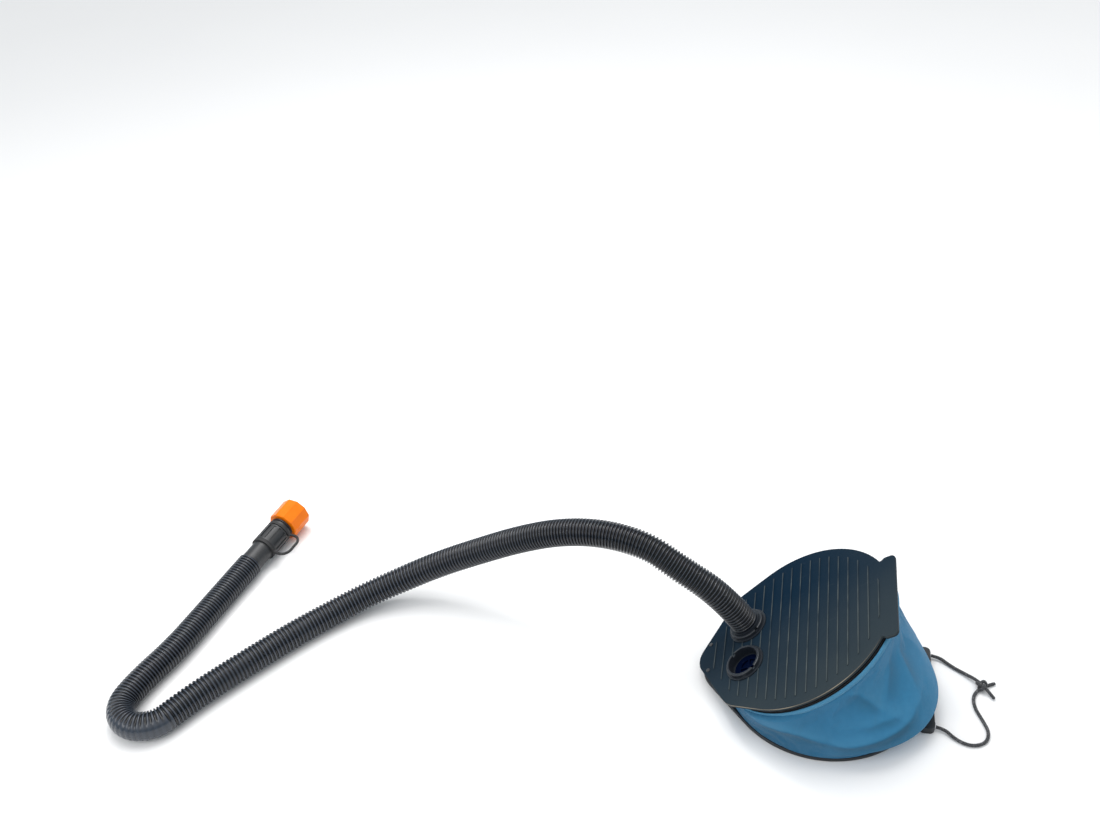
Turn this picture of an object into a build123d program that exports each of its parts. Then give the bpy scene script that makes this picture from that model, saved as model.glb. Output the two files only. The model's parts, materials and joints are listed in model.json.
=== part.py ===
"""Bellows foot pump: two hinged plates, a fabric bellows, valves, a corrugated hose and a closing cord.

Millimetres, +Z up.  The origin is the centre of the base plate's disc on the floor.  +X runs from the
hinge to the toe bar, and the pump stands open on its spring.
"""
from build123d import *
from math import cos, pi, radians, sin, tan
import os

os.makedirs("parts", exist_ok=True)

# ---- plates and hinge -------------------------------------------------------------------------
plate_radius = 115.0
plate_reach = 128.0          # hinge axis to the centre of the disc
open_angle = 34.0            # between the plates at rest, on the bellows' own stop
hinge_height = 8.0
tab_overhang = 12.0          # the hinge end, past the hinge axis
base_tab_radius = 40.0
top_tab_radius = 28.0
shoulder_radius = 35.0       # the upper plate's tab is broader, and covers the lower one
shoulder_reach = 58.0
shoulder_offset = 55.0
base_toe = 252.0             # hinge axis to the edge of the toe bar
top_toe = 247.0
ear_reach = 61.0             # half the length of the toe bar, over its ears
ear_width = 14.0
ear_slant = 12.0             # the ear's inner edge runs back into the disc at this slant
ear_rounding = 6.0
notch_rounding = 2.0
base_thickness = 4.5
toe_bar_height = 9.0
top_face = 14.0              # above the hinge axis, square to the top plate
top_thickness = 3.5
edge_rounding = 1.2
foot_chamfer = 0.6
toe_bar_gap = 0.4            # between the toe bar and the bellows' circle

# ---- tread and clamp rings --------------------------------------------------------------------
tread_count = 18
tread_start = 11.0           # hinge axis to the first line
tread_pitch = 12.65
tread_width = 1.3
tread_height = 0.8
tread_inset = 13.0
skirt_height = 3.0
skirt_outer = 112.0
ring_outer = 112.4
ring_inner = 101.0
ring_thickness = 3.0
ring_screw_radius = 1.5
ring_screw_circle = 104.5
ring_screw_count = 8
screw_slack = 0.05
ring_screw_bite = 2.5        # into the plate
ring_screw_hole = 3.0

# ---- bellows ----------------------------------------------------------------------------------
bellows_outer = 114.0
bellows_wall = 1.5
hem_inner = 108.0
hem_thickness = 1.0

# ---- ports and valves -------------------------------------------------------------------------
port_reach = 55.0            # hinge axis to both ports
port_offset = 29.0
collar_outer = 22.0
collar_bore = 19.0
collar_flange = 24.5
collar_flange_thickness = 1.5
collar_barrel = 20.5
collar_height = 6.0
barrel_bottom = 6.0          # above the hinge axis
seat_thickness = 2.0
seat_opening = 10.5
flap_radius = 12.5
flap_thickness = 1.2
flap_hinge_offset = 12.5
flap_hinge_lift = 1.4
flap_pin_radius = 0.6
running_slack = 0.05

# ---- hose and its far fitting -----------------------------------------------------------------
hose_radius = 17.0
hose_wall = 1.2
plug_radius = 18.8
plug_bore = 13.5
plug_rounding = 0.6
plug_bottom = 17.5
hose_foot = 22.0             # where the hose leaves its plug, above the hinge axis
cuff_radius = 15.0
cuff_length = 32.0
connector_radius = 17.5
connector_length = 30.0
connector_bore = 11.0
neck_radius = 15.0
nut_start = 74.0
nut_length = 34.0
nut_flats = 42.0
nut_sides = 10
nut_bore = 17.6
nut_back_wall = 4.0
nut_chamfer = 0.8
nut_relief_bore = 18.2       # behind the thread, round the lip and the seal
nut_relief_length = 8.0

# ---- closing cord -----------------------------------------------------------------------------
cord_radius = 2.0
cord_hole_radius = 2.5
cord_hole_offset = 53.0
cord_hole_depth = 12.0

# ---- derived frames ---------------------------------------------------------------------------
slope = radians(open_angle)
hinge_point = Vector(-plate_reach, 0, hinge_height)
base_plane = Plane(origin=hinge_point, x_dir=(1, 0, 0), z_dir=(0, 0, 1))
top_plane = Plane(origin=hinge_point, x_dir=(cos(slope), 0, sin(slope)), z_dir=(-sin(slope), 0, cos(slope)))
base_top = base_thickness - hinge_height
top_underside = top_face - top_thickness
skirt_bottom = top_underside - skirt_height
base_hem_top = base_top + hem_thickness
top_hem_bottom = skirt_bottom - hem_thickness
base_ring_top = base_hem_top + ring_thickness
top_ring_bottom = top_hem_bottom - ring_thickness
tread_middle = tread_start + tread_pitch * (tread_count - 1) / 2
base_bar_start = base_toe - ear_width - ear_slant
hole_level = toe_bar_height / 2
toe_plane = Plane(origin=(base_toe - plate_reach, 0, hole_level), x_dir=(0, 1, 0), z_dir=(1, 0, 0))


def finish(part, label):
    """Label a finished piece and write it to its own file."""
    part.part.label = label
    export_step(part.part, f"parts/{label}.step")


def polar_centre(count, circle):
    """Places on a circle about the centre of the disc, in a plate's own plane."""
    step = 2 * pi / count
    angles = [step * (k + 0.5) for k in range(count)]
    return [(plate_reach + circle * cos(a), circle * sin(a)) for a in angles]


def fold_radii(points):
    """The arc at each corner: 0.45 of the shorter run over the tangent of half the turn."""
    radii = []
    for before, corner, after in zip(points, points[1:], points[2:]):
        run_in = corner - before
        run_out = after - corner
        half_turn = radians(run_in.get_angle(run_out)) / 2
        radii.append(0.45 * min(run_in.length, run_out.length) / tan(half_turn))
    return radii


def make_tube(points, outer, inner, label):
    """A plain tube along straight runs joined by tangent arcs."""
    radii = fold_radii(points)
    with BuildPart() as tube:
        with BuildLine() as route:
            path = FilletPolyline(*points, radius=radii)
        with BuildSketch(Plane(path @ 0, z_dir=path % 0)):
            Circle(outer)
            if inner:
                Circle(inner, mode=Mode.SUBTRACT)
        sweep(path=path)
    section = pi * (outer**2 - inner**2)
    agreement = tube.part.volume / (section * path.length)
    print(f"{label}: {path.length:.1f} long, volume over section times length {agreement:.4f}")
    print("  radii", " ".join(f"{r:.0f}" for r in radii))
    finish(tube, label)


def draw_disc(tab_circles, inset=0.0):
    """A plate's disc and the circles of its hinge tab, wrapped in one outline."""
    with BuildSketch() as disc:
        with Locations((plate_reach, 0)):
            Circle(plate_radius - inset)
        for reach, offset, radius in tab_circles:
            with Locations((reach, offset)):
                Circle(radius - inset)
        make_hull()
    return disc.sketch


def draw_plate(tab_circles, toe):
    """A plate's whole outline: its disc and tab, and a toe bar with two ears."""
    ear_inner = toe - ear_width
    with BuildSketch() as outline:
        add(draw_disc(tab_circles))
        Polygon(
            (toe, -ear_reach),
            (toe, ear_reach),
            (ear_inner, ear_reach),
            (ear_inner - ear_slant, ear_reach - ear_slant),
            (ear_inner - ear_slant, ear_slant - ear_reach),
            (ear_inner, -ear_reach),
            align=None,
        )
        ear_corners = outline.vertices().filter_by(lambda v: abs(abs(v.Y) - ear_reach) < 0.01)
        fillet(ear_corners, ear_rounding)
        notches = outline.vertices().filter_by(
            lambda v: ear_inner - ear_slant < v.X < ear_inner - 2 and abs(v.Y) < ear_reach - 3
        )
        fillet(notches, notch_rounding)
    return outline.sketch


base_tab = [(base_tab_radius - tab_overhang, 0, base_tab_radius)]
top_tab = [
    (top_tab_radius - tab_overhang, 0, top_tab_radius),
    (shoulder_reach, shoulder_offset, shoulder_radius),
    (shoulder_reach, -shoulder_offset, shoulder_radius),
]
base_outline = draw_plate(base_tab, base_toe)
top_outline = draw_plate(top_tab, top_toe)
tread_area = draw_disc(top_tab, tread_inset)


# ---- base -------------------------------------------------------------------------------------
with BuildPart() as base_plate:
    with BuildSketch(base_plane.offset(-hinge_height)):
        add(base_outline)
    extrude(amount=base_thickness)
    fillet(base_plate.faces().sort_by(Axis.Z)[-1].edges(), edge_rounding)
    chamfer(base_plate.faces().sort_by(Axis.Z)[0].edges(), foot_chamfer)
    with BuildSketch(base_plane.offset(-hinge_height)):
        add(base_outline)
        with Locations((plate_reach, 0)):
            Circle(plate_radius + toe_bar_gap, mode=Mode.SUBTRACT)
            Rectangle(2 * (base_bar_start - plate_reach), 3 * plate_radius, mode=Mode.SUBTRACT)
        Rectangle(plate_reach, 3 * plate_radius, mode=Mode.SUBTRACT)
    extrude(amount=toe_bar_height)
    with BuildSketch(toe_plane):
        with Locations((cord_hole_offset, 0), (-cord_hole_offset, 0)):
            Circle(cord_hole_radius)
    extrude(amount=-cord_hole_depth, mode=Mode.SUBTRACT)
    with BuildSketch(base_plane.offset(base_top)):
        with Locations(*polar_centre(ring_screw_count, ring_screw_circle)):
            Circle(ring_screw_radius + screw_slack)
    extrude(amount=-ring_screw_hole, mode=Mode.SUBTRACT)
finish(base_plate, "base_plate")

with BuildPart() as base_clamp_ring:
    with BuildSketch(base_plane.offset(base_hem_top)):
        with Locations((plate_reach, 0)):
            Circle(ring_outer)
            Circle(ring_inner, mode=Mode.SUBTRACT)
        with Locations(*polar_centre(ring_screw_count, ring_screw_circle)):
            Circle(ring_screw_radius + screw_slack, mode=Mode.SUBTRACT)
    extrude(amount=ring_thickness)
finish(base_clamp_ring, "base_clamp_ring")

with BuildPart() as base_ring_screws:
    with BuildSketch(base_plane.offset(base_top - ring_screw_bite)):
        with Locations(*polar_centre(ring_screw_count, ring_screw_circle)):
            Circle(ring_screw_radius)
    extrude(amount=ring_thickness + hem_thickness + ring_screw_bite)
finish(base_ring_screws, "base_ring_screws")

# ---- top plate --------------------------------------------------------------------------------
# The two screws of the hinge's upper leaf pass through the tab.
top_screw_reach = 3.0
hinge_screw_offset = 20.0
hinge_screw_radius = 1.6

with BuildPart() as top_plate:
    with BuildSketch(top_plane.offset(top_underside)):
        add(top_outline)
    extrude(amount=top_thickness)
    tread_face = top_plate.faces().filter_by(top_plane).sort_by(Axis.Z)[-1]
    fillet(tread_face.edges(), edge_rounding)
    with BuildSketch(top_plane.offset(skirt_bottom)):
        with Locations((plate_reach, 0)):
            Circle(skirt_outer)
            Circle(ring_inner, mode=Mode.SUBTRACT)
    extrude(amount=skirt_height)
    with BuildSketch(top_plane.offset(top_face)):
        with Locations((tread_middle, 0)):
            with GridLocations(tread_pitch, 1, tread_count, 1):
                Rectangle(tread_width, 2 * plate_radius)
        add(tread_area, mode=Mode.INTERSECT)
    extrude(amount=tread_height)
    with BuildSketch(top_plane.offset(top_face)):
        with Locations((port_reach, port_offset), (port_reach, -port_offset)):
            Circle(collar_flange)
    extrude(amount=tread_height, mode=Mode.SUBTRACT)
    with BuildSketch(top_plane.offset(top_underside)):
        with Locations((port_reach, port_offset), (port_reach, -port_offset)):
            Circle(collar_barrel + screw_slack)
        with Locations((top_screw_reach, hinge_screw_offset), (top_screw_reach, -hinge_screw_offset)):
            Circle(hinge_screw_radius + screw_slack)
    extrude(amount=top_thickness, mode=Mode.SUBTRACT)
    with BuildSketch(top_plane.offset(skirt_bottom)):
        with Locations(*polar_centre(ring_screw_count, ring_screw_circle)):
            Circle(ring_screw_radius + screw_slack)
    extrude(amount=ring_screw_hole, mode=Mode.SUBTRACT)
finish(top_plate, "top_plate")

with BuildPart() as top_clamp_ring:
    with BuildSketch(top_plane.offset(top_ring_bottom)):
        with Locations((plate_reach, 0)):
            Circle(ring_outer)
            Circle(ring_inner, mode=Mode.SUBTRACT)
        with Locations(*polar_centre(ring_screw_count, ring_screw_circle)):
            Circle(ring_screw_radius + screw_slack, mode=Mode.SUBTRACT)
    extrude(amount=ring_thickness)
finish(top_clamp_ring, "top_clamp_ring")

with BuildPart() as top_ring_screws:
    with BuildSketch(top_plane.offset(top_ring_bottom)):
        with Locations(*polar_centre(ring_screw_count, ring_screw_circle)):
            Circle(ring_screw_radius)
    extrude(amount=ring_thickness + hem_thickness + ring_screw_bite)
finish(top_ring_screws, "top_ring_screws")

# ---- bellows ----------------------------------------------------------------------------------
# The wall turns about the hinge axis from one plate to the other, with a flat hem under each ring.
wall_inner = bellows_outer - bellows_wall
middle_level = (base_top + skirt_bottom) / 2


def draw_wall():
    """The bellows' ring section, in the plane of a plate."""
    with Locations((plate_reach, 0)):
        Circle(bellows_outer)
        Circle(wall_inner, mode=Mode.SUBTRACT)


def draw_hem():
    """The flat hem that a clamp ring holds."""
    with Locations((plate_reach, 0)):
        Circle(wall_inner + bellows_wall / 2)
        Circle(hem_inner, mode=Mode.SUBTRACT)


with BuildPart() as bellows:
    with BuildSketch(base_plane.offset(base_top)):
        draw_wall()
    extrude(amount=middle_level - base_top)
    with BuildSketch(base_plane.offset(base_top)):
        draw_hem()
    extrude(amount=hem_thickness)
    with BuildSketch(base_plane.offset(middle_level)):
        draw_wall()
    revolve(axis=Axis(hinge_point, (0, -1, 0)), revolution_arc=open_angle)
    with BuildSketch(top_plane.offset(middle_level)):
        draw_wall()
    extrude(amount=skirt_bottom - middle_level)
    with BuildSketch(top_plane.offset(top_hem_bottom)):
        draw_hem()
    extrude(amount=hem_thickness)
finish(bellows, "bellows")

# ---- hinge ------------------------------------------------------------------------------------
pin_radius = 1.5
knuckle_radius = 3.2
leaf_half_width = 24.0
leaf_thickness = 2.0
centre_knuckle = 11.8
outer_knuckle_start = 12.2
outer_knuckle_end = 22.0
base_leaf_centre = 9.0
base_leaf_length = 10.0
knuckle_arm = 6.0
arm_thickness = 1.5
top_leaf_centre = 5.5
top_leaf_length = 13.0
base_screw_reach = 10.0
screw_head_radius = 2.5
screw_head_height = 1.2
screw_head_rounding = 0.7
screw_tip = 1.0
pin_head_radius = 2.4
pin_head_height = 1.2
pin_head_gap = 0.4
side_plane = Plane(origin=hinge_point, x_dir=(1, 0, 0), z_dir=(0, -1, 0))
top_side_plane = Plane(origin=hinge_point, x_dir=top_plane.x_dir, z_dir=(0, -1, 0))

with BuildPart() as base_hinge_leaf:
    with BuildSketch(base_plane.offset(base_top)):
        with Locations((base_leaf_centre, 0)):
            Rectangle(base_leaf_length, 2 * leaf_half_width)
    extrude(amount=leaf_thickness)
    for side in (-1, 1):
        with BuildSketch(side_plane.offset(side * (outer_knuckle_start + outer_knuckle_end) / 2)):
            Circle(knuckle_radius)
            with Locations((knuckle_arm / 2, base_top + 0.8 + arm_thickness / 2)):
                Rectangle(knuckle_arm, arm_thickness)
        extrude(amount=(outer_knuckle_end - outer_knuckle_start) / 2, both=True)
    with BuildSketch(side_plane):
        Circle(pin_radius + running_slack)
    extrude(amount=outer_knuckle_end + 1, both=True, mode=Mode.SUBTRACT)
    with BuildSketch(base_plane.offset(base_top)):
        with Locations((base_screw_reach, hinge_screw_offset), (base_screw_reach, -hinge_screw_offset)):
            Circle(hinge_screw_radius + screw_slack)
    extrude(amount=leaf_thickness, mode=Mode.SUBTRACT)
finish(base_hinge_leaf, "base_hinge_leaf")

with BuildPart() as top_hinge_leaf:
    with BuildSketch(top_plane.offset(top_underside - leaf_thickness)):
        with Locations((top_leaf_centre, 0)):
            Rectangle(top_leaf_length, 2 * leaf_half_width)
    extrude(amount=leaf_thickness)
    with BuildSketch(top_side_plane):
        Circle(knuckle_radius)
        with Locations((0, (top_underside - leaf_thickness) / 2)):
            Rectangle(2 * knuckle_radius, top_underside - leaf_thickness)
    extrude(amount=centre_knuckle, both=True)
    with BuildSketch(top_side_plane):
        Circle(pin_radius + running_slack)
    extrude(amount=centre_knuckle + 1, both=True, mode=Mode.SUBTRACT)
    with BuildSketch(top_plane.offset(top_underside - leaf_thickness)):
        with Locations((top_screw_reach, hinge_screw_offset), (top_screw_reach, -hinge_screw_offset)):
            Circle(hinge_screw_radius + screw_slack)
    extrude(amount=leaf_thickness, mode=Mode.SUBTRACT)
finish(top_hinge_leaf, "top_hinge_leaf")

with BuildPart() as hinge_pin:
    with BuildSketch(side_plane):
        Circle(pin_radius)
    extrude(amount=outer_knuckle_end + pin_head_gap, both=True)
    for side in (-1, 1):
        with BuildSketch(side_plane.offset(side * (outer_knuckle_end + pin_head_gap + pin_head_height / 2))):
            Circle(pin_head_radius)
        extrude(amount=pin_head_height / 2, both=True)
finish(hinge_pin, "hinge_pin")

with BuildPart() as top_hinge_screws:
    with BuildSketch(top_plane.offset(top_underside - leaf_thickness - screw_tip)):
        with Locations((top_screw_reach, hinge_screw_offset), (top_screw_reach, -hinge_screw_offset)):
            Circle(hinge_screw_radius)
    extrude(amount=screw_tip + leaf_thickness + top_thickness)
    with BuildSketch(top_plane.offset(top_face)):
        with Locations((top_screw_reach, hinge_screw_offset), (top_screw_reach, -hinge_screw_offset)):
            Circle(screw_head_radius)
    extrude(amount=screw_head_height)
    rims = top_hinge_screws.edges().filter_by(GeomType.CIRCLE)
    head_rims = rims.filter_by(lambda rim: abs(rim.radius - screw_head_radius) < 0.01)
    fillet(head_rims.sort_by(Axis((0, 0, 0), top_plane.z_dir))[-2:], screw_head_rounding)
finish(top_hinge_screws, "top_hinge_screws")

with BuildPart() as base_hinge_screws:
    with BuildSketch(base_plane.offset(base_top)):
        with Locations((base_screw_reach, hinge_screw_offset), (base_screw_reach, -hinge_screw_offset)):
            Circle(hinge_screw_radius)
    extrude(amount=leaf_thickness)
    with BuildSketch(base_plane.offset(base_top + leaf_thickness)):
        with Locations((base_screw_reach, hinge_screw_offset), (base_screw_reach, -hinge_screw_offset)):
            Circle(screw_head_radius)
    extrude(amount=screw_head_height)
finish(base_hinge_screws, "base_hinge_screws")

# ---- return spring ----------------------------------------------------------------------------
# Each point of the coil lies in a plate's plane that has turned part of the way from base to top.
spring_radius = 26.0
spring_wire = 1.3
spring_turns = 6
points_per_turn = 12
end_turn_share = 0.042       # of the whole way, so each end turn lies flat in its seat
seat_floor = 1.5
seat_outer = 30.5
seat_wall = 2.0
seat_height = 5.0
coil_clearance = 0.1

with BuildPart() as base_spring_seat:
    with BuildSketch(base_plane.offset(base_top)):
        with Locations((plate_reach, 0)):
            Circle(seat_outer)
    extrude(amount=seat_height)
    with BuildSketch(base_plane.offset(base_top + seat_floor)):
        with Locations((plate_reach, 0)):
            Circle(seat_outer - seat_wall)
    extrude(amount=seat_height - seat_floor, mode=Mode.SUBTRACT)
finish(base_spring_seat, "base_spring_seat")

with BuildPart() as top_spring_seat:
    with BuildSketch(top_plane.offset(top_underside - seat_height)):
        with Locations((plate_reach, 0)):
            Circle(seat_outer)
    extrude(amount=seat_height)
    with BuildSketch(top_plane.offset(top_underside - seat_height)):
        with Locations((plate_reach, 0)):
            Circle(seat_outer - seat_wall)
    extrude(amount=seat_height - seat_floor, mode=Mode.SUBTRACT)
finish(top_spring_seat, "top_spring_seat")

coil_low = base_top + seat_floor + spring_wire + coil_clearance
coil_high = top_underside - seat_floor - spring_wire - coil_clearance
middle_turn_share = (1 - 2 * end_turn_share) / (spring_turns - 2)


def coil_share(turn):
    """How far a point of the coil has come from the base seat, 0, to the top one, 1."""
    if turn < 1:
        return turn * end_turn_share
    if turn > spring_turns - 1:
        return 1 - (spring_turns - turn) * end_turn_share
    return end_turn_share + (turn - 1) * middle_turn_share


def coil_point(turn):
    """A point on the coil's line after so many turns."""
    share = coil_share(turn)
    tilt = share * slope
    plane = Plane(origin=hinge_point, x_dir=(cos(tilt), 0, sin(tilt)), z_dir=(-sin(tilt), 0, cos(tilt)))
    around = 2 * pi * turn
    reach = plate_reach + spring_radius * cos(around)
    level = coil_low + share * (coil_high - coil_low)
    return plane.from_local_coords(Vector(reach, spring_radius * sin(around), level))


coil_points = [coil_point(k / points_per_turn) for k in range(spring_turns * points_per_turn + 1)]
make_tube(coil_points, spring_wire, 0, "return_spring")

# ---- ports ------------------------------------------------------------------------------------
bayonet_slot = 4.0
bayonet_length = 9.6
bayonet_depth = 3.0
bayonet_reach = 14.0         # along both of the plate's directions, so each slot stands at 45 degrees
collar_rounding = 1.2
seat_ledge = 1.5


def make_collar(side, label):
    """A ring collar with a foot flange, two bayonet slots in its rim and a barrel through the plate."""
    centre = (port_reach, side * port_offset)
    with BuildPart() as collar:
        with BuildSketch(top_plane.offset(barrel_bottom)):
            with Locations(centre):
                Circle(collar_barrel)
        extrude(amount=top_face - barrel_bottom)
        with BuildSketch(top_plane.offset(top_face)):
            with Locations(centre):
                Circle(collar_flange)
        extrude(amount=collar_flange_thickness)
        with BuildSketch(top_plane.offset(top_face)):
            with Locations(centre):
                Circle(collar_outer)
        extrude(amount=collar_height)
        rim = collar.faces().filter_by(top_plane).sort_by(Axis((0, 0, 0), top_plane.z_dir))[-1]
        fillet(rim.edges(), collar_rounding)
        with BuildSketch(top_plane.offset(barrel_bottom + seat_thickness)):
            with Locations(centre):
                Circle(collar_bore)
        extrude(amount=top_face + collar_height - barrel_bottom, mode=Mode.SUBTRACT)
        with BuildSketch(top_plane.offset(barrel_bottom)):
            with Locations(centre):
                Circle(collar_bore - seat_ledge)
        extrude(amount=seat_thickness, mode=Mode.SUBTRACT)
        with BuildSketch(top_plane.offset(top_face + collar_height - bayonet_depth)):
            for way in (-1, 1):
                with Locations((centre[0] + way * bayonet_reach, centre[1] - way * bayonet_reach)):
                    Rectangle(bayonet_slot, bayonet_length, rotation=45)
        extrude(amount=bayonet_depth, mode=Mode.SUBTRACT)
    finish(collar, label)


flap_shift = 0.8             # the flap and the opening under it stand this far off the collar's axis
spoke_width = 2.2
hub_radius = 3.0
lug_offset = 7.0
lug_length = 2.6
lug_width = 1.8
lug_height = 2.7
lug_bore_reach = 9.0
flap_root_length = 2.4
flap_root_width = 10.0
flap_pin_reach = 7.9


def make_valve(side, facing, name):
    """A spider seat, a rubber flap and its pin.  facing is +1 where the flap opens out of the bellows."""
    centre = (port_reach, side * port_offset)
    flap_level = barrel_bottom + (seat_thickness if facing > 0 else 0)
    flap_plane = Plane(
        origin=top_plane.from_local_coords(Vector(centre[0], centre[1], flap_level)),
        x_dir=top_plane.x_dir,
        z_dir=top_plane.z_dir * facing,
    )
    hinge_side = Plane(
        origin=flap_plane.from_local_coords(Vector(-flap_hinge_offset, 0, flap_hinge_lift)),
        x_dir=flap_plane.x_dir,
        z_dir=(0, -1, 0),
    )
    with BuildPart() as seat:
        with BuildSketch(flap_plane.offset(-seat_thickness)):
            Circle(collar_bore - seat_ledge - screw_slack)
            with Locations((flap_shift, 0)):
                Circle(seat_opening, mode=Mode.SUBTRACT)
                Rectangle(2 * seat_opening + 1, spoke_width)
                Rectangle(spoke_width, 2 * seat_opening + 1)
                Circle(hub_radius)
        extrude(amount=seat_thickness)
        for lug in (-1, 1):
            with BuildSketch(flap_plane):
                with Locations((-flap_hinge_offset, lug * lug_offset)):
                    Rectangle(lug_length, lug_width)
            extrude(amount=lug_height)
        with BuildSketch(hinge_side):
            Circle(flap_pin_radius + running_slack)
        extrude(amount=lug_bore_reach, both=True, mode=Mode.SUBTRACT)
    finish(seat, f"{name}_valve_seat")
    with BuildPart() as flap:
        with BuildSketch(flap_plane):
            with Locations((flap_shift, 0)):
                Circle(flap_radius)
            with Locations((flap_root_length / 2 - flap_hinge_offset, 0)):
                Rectangle(flap_root_length, flap_root_width)
        extrude(amount=flap_thickness)
        with BuildSketch(hinge_side):
            Circle(flap_hinge_lift - 2 * running_slack)
        extrude(amount=flap_root_width / 2, both=True)
        with BuildSketch(hinge_side):
            Circle(flap_pin_radius + running_slack)
        extrude(amount=flap_root_width, both=True, mode=Mode.SUBTRACT)
    finish(flap, f"{name}_flap")
    with BuildPart() as pin:
        with BuildSketch(hinge_side):
            Circle(flap_pin_radius)
        extrude(amount=flap_pin_reach, both=True)
    finish(pin, f"{name}_flap_pin")


make_collar(1, "outlet_collar")
make_collar(-1, "inlet_collar")
make_valve(1, 1, "outlet")
make_valve(-1, -1, "inlet")

outlet_plane = Plane(
    origin=top_plane.from_local_coords(Vector(port_reach, port_offset, 0)),
    x_dir=top_plane.x_dir,
    z_dir=top_plane.z_dir,
)

with BuildPart() as hose_plug:
    with BuildSketch(outlet_plane.offset(plug_bottom)):
        Circle(plug_radius)
        Circle(plug_bore, mode=Mode.SUBTRACT)
    extrude(amount=hose_foot - plug_bottom)
    plug_rims = hose_plug.edges().filter_by(GeomType.CIRCLE).sort_by(Axis((0, 0, 0), top_plane.z_dir))
    fillet(plug_rims[-1], plug_rounding)
finish(hose_plug, "hose_plug")

# ---- hose ---------------------------------------------------------------------------------------
floor_rest = hose_radius
first_run = 50.0
fitting_rest = 19.2          # the nut is wider than the hose and lifts its end
hose_points = [
    outlet_plane.from_local_coords(Vector(0, 0, hose_foot)),
    outlet_plane.from_local_coords(Vector(0, 0, hose_foot + first_run)),
    Vector(-174, 38, 129),
    Vector(-212, 49, 150),
    Vector(-265, 61, 153),
    Vector(-320, 70, 141),
    Vector(-376, 78, 115),
    Vector(-432, 83, 84),
    Vector(-488, 82, 56),
    Vector(-539, 69, 34),
    Vector(-584, 46, 22),
    Vector(-622, 12, floor_rest),
    Vector(-656, -26, floor_rest),
    Vector(-692, -72, floor_rest),
    Vector(-726, -117, floor_rest),
    Vector(-749, -151, floor_rest),
    Vector(-769, -187, floor_rest),
    Vector(-805, -193, floor_rest),
    Vector(-829, -166, floor_rest),
    Vector(-819, -121, floor_rest),
    Vector(-799, -69, floor_rest),
    Vector(-786, -12, floor_rest),
    Vector(-774, 43, floor_rest),
    Vector(-762, 88, fitting_rest),
]
make_tube(hose_points, hose_radius, hose_radius - hose_wall, "hose")

# ---- far fitting ------------------------------------------------------------------------------
fitting_axis = (hose_points[-1] - hose_points[-2]).normalized()
fitting_side = fitting_axis.cross(Vector(0, 0, 1)).normalized()
fitting_plane = Plane(origin=hose_points[-1], x_dir=fitting_side, z_dir=fitting_axis)
connector_end = cuff_length + connector_length
cuff_bore = 12.0
lip_gap = 0.4                # the neck's lip holds the nut, which turns freely behind it
lip_height = 4.6
seal_height = 2.5
lip_start = nut_start + nut_back_wall + lip_gap
neck_end = lip_start + lip_height

with BuildPart() as hose_cuff:
    with BuildSketch(fitting_plane):
        Circle(cuff_radius)
        Circle(cuff_bore, mode=Mode.SUBTRACT)
    extrude(amount=cuff_length)
finish(hose_cuff, "hose_cuff")

grip_count = 14
grip_depth = 1.2
grip_width = 3.2
grip_end = 3.0
connector_rounding = 1.5
thread_levels = (connector_end + 5, connector_end + 9)
thread_depth = 1.5
thread_width = 1.8

with BuildPart() as connector_body:
    with BuildSketch(fitting_plane.offset(cuff_length)):
        Circle(connector_radius)
    extrude(amount=connector_length)
    ends = connector_body.edges().filter_by(GeomType.CIRCLE)
    fillet(ends, connector_rounding)
    with BuildSketch(fitting_plane.offset(cuff_length + grip_end)):
        with PolarLocations(connector_radius, grip_count):
            Rectangle(2 * grip_depth, grip_width)
    extrude(amount=connector_length - 2 * grip_end, mode=Mode.SUBTRACT)
    with BuildSketch(fitting_plane.offset(connector_end)):
        Circle(neck_radius)
    extrude(amount=neck_end - connector_end)
    for level in thread_levels:
        with BuildSketch(fitting_plane.offset(level)):
            Circle(neck_radius + thread_depth)
        extrude(amount=thread_width)
    with BuildSketch(fitting_plane.offset(lip_start)):
        Circle(nut_bore - 2 * running_slack)
    extrude(amount=lip_height)
    with BuildSketch(fitting_plane.offset(cuff_length)):
        Circle(connector_bore)
    extrude(amount=neck_end - cuff_length, mode=Mode.SUBTRACT)
finish(connector_body, "connector_body")

with BuildPart() as coupling_seal:
    with BuildSketch(fitting_plane.offset(neck_end)):
        Circle(nut_bore - 6 * running_slack)
        Circle(connector_bore, mode=Mode.SUBTRACT)
    extrude(amount=seal_height)
finish(coupling_seal, "coupling_seal")

with BuildPart() as coupling_nut:
    with BuildSketch(fitting_plane.offset(nut_start)):
        RegularPolygon(nut_flats / 2, nut_sides, major_radius=False)
    extrude(amount=nut_length)
    end_faces = coupling_nut.faces().filter_by(fitting_plane)
    chamfer(end_faces.edges(), nut_chamfer)
    with BuildSketch(fitting_plane.offset(nut_start)):
        Circle(neck_radius + running_slack)
    extrude(amount=nut_back_wall, mode=Mode.SUBTRACT)
    with BuildSketch(fitting_plane.offset(nut_start + nut_back_wall)):
        Circle(nut_bore)
    extrude(amount=nut_length - nut_back_wall, mode=Mode.SUBTRACT)
    with BuildSketch(fitting_plane.offset(nut_start + nut_back_wall)):
        Circle(nut_relief_bore)
    extrude(amount=nut_relief_length, mode=Mode.SUBTRACT)
finish(coupling_nut, "coupling_nut")

# The tether is one moulded strap between two loose rings, bowed out beside the connector.
tether_section = 1.9
tether_ring = 2.5            # wall of each ring
tether_ring_width = 4.0
tether_back = cuff_length - tether_ring_width - 0.2
tether_front = connector_end + 0.4
tether_bow = 38.0
tether_corner = 12.0
tether_root = 1.2            # the strap starts inside its ring's wall
tether_plane = Plane(origin=fitting_plane.origin, x_dir=fitting_side, z_dir=fitting_side.cross(fitting_axis))
tether_rings = ((tether_back, cuff_radius), (tether_front, neck_radius))
tether_middles = [level + tether_ring_width / 2 for level, bore in tether_rings]

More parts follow.
